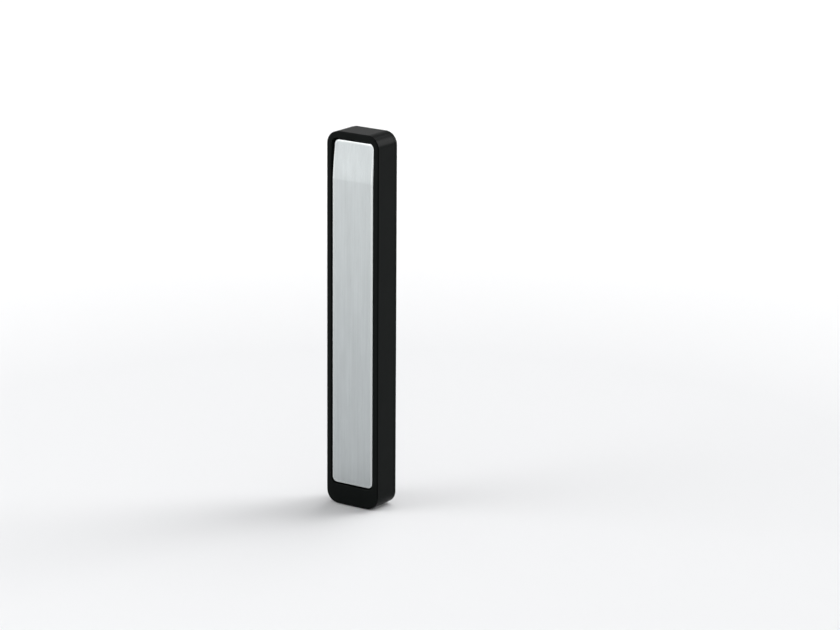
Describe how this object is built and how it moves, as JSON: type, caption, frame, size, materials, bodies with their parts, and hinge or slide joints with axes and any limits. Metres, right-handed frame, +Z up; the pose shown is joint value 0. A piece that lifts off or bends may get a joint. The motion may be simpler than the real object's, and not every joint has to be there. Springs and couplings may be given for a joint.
{
  "type": "window handle",
  "caption": "Slim upright handle for a sliding window: a brushed lever in a black housing swings out and drives a rack with a locking pin.",
  "frame": {"origin": "middle of the rear face that lies on the window sash, at half the handle's height", "axes": "+Z up along the handle, +X to the right of someone facing it, +Y into the sash; the handle stands out towards -Y"},
  "size_m": [0.037, 0.0325, 0.23],
  "materials": {
    "black_coating": "satin black coating",
    "cast_grey": "plain grey coating on a casting",
    "brushed_aluminium": "brushed along its length, with a bright cut edge",
    "black_rubber": "matt",
    "bright_steel": "bright zinc plating",
    "plated_steel": "satin zinc plating",
    "spring_steel": "drawn wire",
    "pale_plastic": "natural acetal"
  },
  "bodies": {
    "housing": {"housing_frame": "black_coating", "base_plate": "black_coating", "rear_gasket": "black_rubber", "frame_screws": "bright_steel", "pivot_bush_left": "pale_plastic", "pivot_bush_right": "pale_plastic", "slide_keeper_upper": "plated_steel", "slide_keeper_lower": "plated_steel", "keeper_screws": "bright_steel", "spring_rod": "bright_steel", "return_spring": "spring_steel", "opening_buffer": "black_rubber", "closing_buffers": "black_rubber"},
    "lever": {"lever_plate": "brushed_aluminium", "lever_arm": "cast_grey", "face_studs": "bright_steel", "stud_nuts": "bright_steel", "pivot_pin": "bright_steel"},
    "slide": {"rack_slide": "plated_steel", "drive_pin": "bright_steel", "spring_cup": "pale_plastic"}
  },
  "joints": [
    {"name": "lever_pull", "type": "hinge", "parent": "housing", "child": "lever", "pos_m": [0, -0.0142, 0.0942], "axis": [-1, 0, 0], "range_deg": [0, 40]},
    {"name": "rack_travel", "type": "slide", "parent": "housing", "child": "slide", "axis": [0, 0, -1], "range_m": [0, 0.00594], "stiffness_N_per_m": 2500, "springref_m": -0.002, "deforming": ["return_spring"]}
  ],
  "couplings": [
    {"joint": "rack_travel", "follows": "lever_pull", "m_per_rad": 0.0085}
  ]
}
